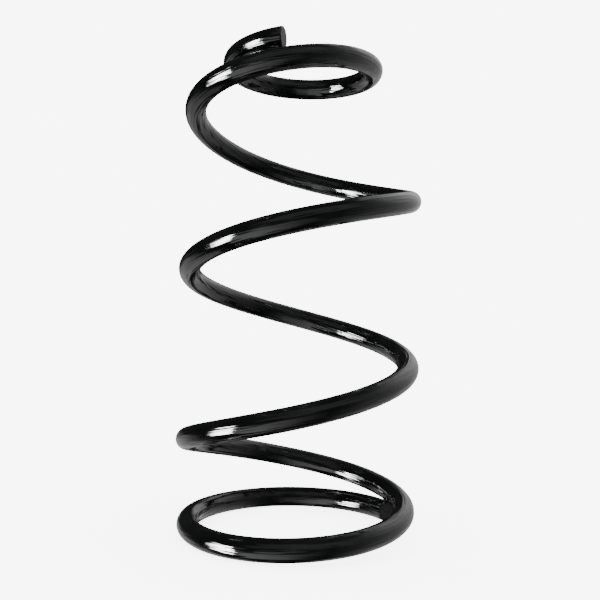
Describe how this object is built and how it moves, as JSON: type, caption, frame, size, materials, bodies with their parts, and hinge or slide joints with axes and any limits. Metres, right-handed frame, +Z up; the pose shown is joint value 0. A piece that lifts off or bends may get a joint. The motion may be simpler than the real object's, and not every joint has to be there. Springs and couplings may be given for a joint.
{
  "type": "coil spring",
  "caption": "Open-wound round-wire compression coil spring with a flat seat coil at the bottom and a smaller pigtail coil at the top.",
  "frame": {"origin": "on the coil's axis, at the underside of the seat coil", "axes": "+Z up the coil's axis to the pigtail; +X is the side that the seat coil's cut end lies nearest, 25 degrees round from it"},
  "size_m": [0.159, 0.159, 0.3208],
  "materials": {
    "coated_steel": "gloss black coating on spring steel"
  },
  "bodies": {
    "lower_seat": {"seat_coil_01": "coated_steel", "seat_coil_02": "coated_steel", "seat_coil_03": "coated_steel", "seat_coil_04": "coated_steel", "seat_coil_05": "coated_steel"},
    "coil_01": {"body_coil_01": "coated_steel"},
    "coil_02": {"body_coil_02": "coated_steel"},
    "coil_03": {"body_coil_03": "coated_steel"},
    "coil_04": {"body_coil_04": "coated_steel"},
    "coil_05": {"body_coil_05": "coated_steel"},
    "coil_06": {"body_coil_06": "coated_steel"},
    "coil_07": {"body_coil_07": "coated_steel"},
    "coil_08": {"body_coil_08": "coated_steel"},
    "coil_09": {"body_coil_09": "coated_steel"},
    "coil_10": {"body_coil_10": "coated_steel"},
    "coil_11": {"body_coil_11": "coated_steel"},
    "coil_12": {"body_coil_12": "coated_steel"},
    "coil_13": {"body_coil_13": "coated_steel"},
    "coil_14": {"body_coil_14": "coated_steel"},
    "coil_15": {"body_coil_15": "coated_steel"},
    "coil_16": {"body_coil_16": "coated_steel"},
    "coil_17": {"body_coil_17": "coated_steel"},
    "coil_18": {"body_coil_18": "coated_steel"},
    "coil_19": {"body_coil_19": "coated_steel"},
    "coil_20": {"body_coil_20": "coated_steel"},
    "coil_21": {"body_coil_21": "coated_steel"},
    "coil_22": {"body_coil_22": "coated_steel"},
    "coil_23": {"body_coil_23": "coated_steel"},
    "coil_24": {"body_coil_24": "coated_steel"},
    "coil_25": {"body_coil_25": "coated_steel"},
    "coil_26": {"body_coil_26": "coated_steel"},
    "coil_27": {"body_coil_27": "coated_steel"},
    "coil_28": {"body_coil_28": "coated_steel"},
    "coil_29": {"body_coil_29": "coated_steel"},
    "coil_30": {"body_coil_30": "coated_steel"},
    "coil_31": {"body_coil_31": "coated_steel"},
    "coil_32": {"body_coil_32": "coated_steel"},
    "coil_33": {"body_coil_33": "coated_steel"},
    "coil_34": {"body_coil_34": "coated_steel"},
    "coil_35": {"body_coil_35": "coated_steel"},
    "upper_seat": {"pigtail_coil_01": "coated_steel", "pigtail_coil_02": "coated_steel", "pigtail_coil_03": "coated_steel", "pigtail_coil_04": "coated_steel"}
  },
  "joints": [
    {"name": "compression", "type": "slide", "parent": "lower_seat", "child": "upper_seat", "axis": [0, 0, 1], "range_m": [-0.14, 0], "stiffness_N_per_m": 52000},
    {"name": "coil_01_close", "type": "slide", "parent": "lower_seat", "child": "coil_01", "axis": [0, 0, 1], "range_m": [-0.00073, 0]},
    {"name": "coil_02_close", "type": "slide", "parent": "coil_01", "child": "coil_02", "axis": [0, 0, 1], "range_m": [-0.0015, 0]},
    {"name": "coil_03_close", "type": "slide", "parent": "coil_02", "child": "coil_03", "axis": [0, 0, 1], "range_m": [-0.00258, 0]},
    {"name": "coil_04_close", "type": "slide", "parent": "coil_03", "child": "coil_04", "axis": [0, 0, 1], "range_m": [-0.00365, 0]},
    {"name": "coil_05_close", "type": "slide", "parent": "coil_04", "child": "coil_05", "axis": [0, 0, 1], "range_m": [-0.00447, 0]},
    {"name": "coil_06_close", "type": "slide", "parent": "coil_05", "child": "coil_06", "axis": [0, 0, 1], "range_m": [-0.00486, 0]},
    {"name": "coil_07_close", "type": "slide", "parent": "coil_06", "child": "coil_07", "axis": [0, 0, 1], "range_m": [-0.00491, 0]},
    {"name": "coil_08_close", "type": "slide", "parent": "coil_07", "child": "coil_08", "axis": [0, 0, 1], "range_m": [-0.00489, 0]},
    {"name": "coil_09_close", "type": "slide", "parent": "lower_seat", "child": "coil_09", "axis": [0, 0, 1], "range_m": [-0.02746, 0]},
    {"name": "coil_10_close", "type": "slide", "parent": "coil_09", "child": "coil_10", "axis": [0, 0, 1], "range_m": [-0.00491, 0]},
    {"name": "coil_11_close", "type": "slide", "parent": "coil_10", "child": "coil_11", "axis": [0, 0, 1], "range_m": [-0.00489, 0]},
    {"name": "coil_12_close", "type": "slide", "parent": "coil_11", "child": "coil_12", "axis": [0, 0, 1], "range_m": [-0.00491, 0]},
    {"name": "coil_13_close", "type": "slide", "parent": "coil_12", "child": "coil_13", "axis": [0, 0, 1], "range_m": [-0.00489, 0]},
    {"name": "coil_14_close", "type": "slide", "parent": "coil_13", "child": "coil_14", "axis": [0, 0, 1], "range_m": [-0.00491, 0]},
    {"name": "coil_15_close", "type": "slide", "parent": "coil_14", "child": "coil_15", "axis": [0, 0, 1], "range_m": [-0.00489, 0]},
    {"name": "coil_16_close", "type": "slide", "parent": "coil_15", "child": "coil_16", "axis": [0, 0, 1], "range_m": [-0.00491, 0]},
    {"name": "coil_17_close", "type": "slide", "parent": "coil_16", "child": "coil_17", "axis": [0, 0, 1], "range_m": [-0.00489, 0]},
    {"name": "coil_18_close", "type": "slide", "parent": "lower_seat", "child": "coil_18", "axis": [0, 0, 1], "range_m": [-0.06649, 0]},
    {"name": "coil_19_close", "type": "slide", "parent": "coil_18", "child": "coil_19", "axis": [0, 0, 1], "range_m": [-0.00491, 0]},
    {"name": "coil_20_close", "type": "slide", "parent": "coil_19", "child": "coil_20", "axis": [0, 0, 1], "range_m": [-0.00491, 0]},
    {"name": "coil_21_close", "type": "slide", "parent": "coil_20", "child": "coil_21", "axis": [0, 0, 1], "range_m": [-0.00489, 0]},
    {"name": "coil_22_close", "type": "slide", "parent": "coil_21", "child": "coil_22", "axis": [0, 0, 1], "range_m": [-0.00491, 0]},
    {"name": "coil_23_close", "type": "slide", "parent": "coil_22", "child": "coil_23", "axis": [0, 0, 1], "range_m": [-0.00489, 0]},
    {"name": "coil_24_close", "type": "slide", "parent": "coil_23", "child": "coil_24", "axis": [0, 0, 1], "range_m": [-0.00491, 0]},
    {"name": "coil_25_close", "type": "slide", "parent": "coil_24", "child": "coil_25", "axis": [0, 0, 1], "range_m": [-0.00489, 0]},
    {"name": "coil_26_close", "type": "slide", "parent": "coil_25", "child": "coil_26", "axis": [0, 0, 1], "range_m": [-0.00491, 0]},
    {"name": "coil_27_close", "type": "slide", "parent": "lower_seat", "child": "coil_27", "axis": [0, 0, 1], "range_m": [-0.10554, 0]},
    {"name": "coil_28_close", "type": "slide", "parent": "coil_27", "child": "coil_28", "axis": [0, 0, 1], "range_m": [-0.00489, 0]},
    {"name": "coil_29_close", "type": "slide", "parent": "coil_28", "child": "coil_29", "axis": [0, 0, 1], "range_m": [-0.00491, 0]},
    {"name": "coil_30_close", "type": "slide", "parent": "coil_29", "child": "coil_30", "axis": [0, 0, 1], "range_m": [-0.00489, 0]},
    {"name": "coil_31_close", "type": "slide", "parent": "coil_30", "child": "coil_31", "axis": [0, 0, 1], "range_m": [-0.00491, 0]},
    {"name": "coil_32_close", "type": "slide", "parent": "coil_31", "child": "coil_32", "axis": [0, 0, 1], "range_m": [-0.00481, 0]},
    {"name": "coil_33_close", "type": "slide", "parent": "coil_32", "child": "coil_33", "axis": [0, 0, 1], "range_m": [-0.00423, 0]},
    {"name": "coil_34_close", "type": "slide", "parent": "coil_33", "child": "coil_34", "axis": [0, 0, 1], "range_m": [-0.0031, 0]},
    {"name": "coil_35_close", "type": "slide", "parent": "coil_34", "child": "coil_35", "axis": [0, 0, 1], "range_m": [-0.0029, 0]}
  ],
  "couplings": [
    {"joint": "coil_01_close", "follows": "compression", "ratio": 0.0051},
    {"joint": "coil_02_close", "follows": "compression", "ratio": 0.0106},
    {"joint": "coil_03_close", "follows": "compression", "ratio": 0.0183},
    {"joint": "coil_04_close", "follows": "compression", "ratio": 0.0259},
    {"joint": "coil_05_close", "follows": "compression", "ratio": 0.0318},
    {"joint": "coil_06_close", "follows": "compression", "ratio": 0.0346},
    {"joint": "coil_07_close", "follows": "compression", "ratio": 0.0349},
    {"joint": "coil_08_close", "follows": "compression", "ratio": 0.0348},
    {"joint": "coil_09_close", "follows": "compression", "ratio": 0.196},
    {"joint": "coil_10_close", "follows": "compression", "ratio": 0.0349},
    {"joint": "coil_11_close", "follows": "compression", "ratio": 0.0348},
    {"joint": "coil_12_close", "follows": "compression", "ratio": 0.0349},
    {"joint": "coil_13_close", "follows": "compression", "ratio": 0.0348},
    {"joint": "coil_14_close", "follows": "compression", "ratio": 0.0349},
    {"joint": "coil_15_close", "follows": "compression", "ratio": 0.0348},
    {"joint": "coil_16_close", "follows": "compression", "ratio": 0.0349},
    {"joint": "coil_17_close", "follows": "compression", "ratio": 0.0348},
    {"joint": "coil_18_close", "follows": "compression", "ratio": 0.4748},
    {"joint": "coil_19_close", "follows": "compression", "ratio": 0.0349},
    {"joint": "coil_20_close", "follows": "compression", "ratio": 0.0349},
    {"joint": "coil_21_close", "follows": "compression", "ratio": 0.0348},
    {"joint": "coil_22_close", "follows": "compression", "ratio": 0.0349},
    {"joint": "coil_23_close", "follows": "compression", "ratio": 0.0348},
    {"joint": "coil_24_close", "follows": "compression", "ratio": 0.0349},
    {"joint": "coil_25_close", "follows": "compression", "ratio": 0.0348},
    {"joint": "coil_26_close", "follows": "compression", "ratio": 0.0349},
    {"joint": "coil_27_close", "follows": "compression", "ratio": 0.7537},
    {"joint": "coil_28_close", "follows": "compression", "ratio": 0.0348},
    {"joint": "coil_29_close", "follows": "compression", "ratio": 0.0349},
    {"joint": "coil_30_close", "follows": "compression", "ratio": 0.0348},
    {"joint": "coil_31_close", "follows": "compression", "ratio": 0.0349},
    {"joint": "coil_32_close", "follows": "compression", "ratio": 0.0342},
    {"joint": "coil_33_close", "follows": "compression", "ratio": 0.0301},
    {"joint": "coil_34_close", "follows": "compression", "ratio": 0.022},
    {"joint": "coil_35_close", "follows": "compression", "ratio": 0.0206}
  ]
}
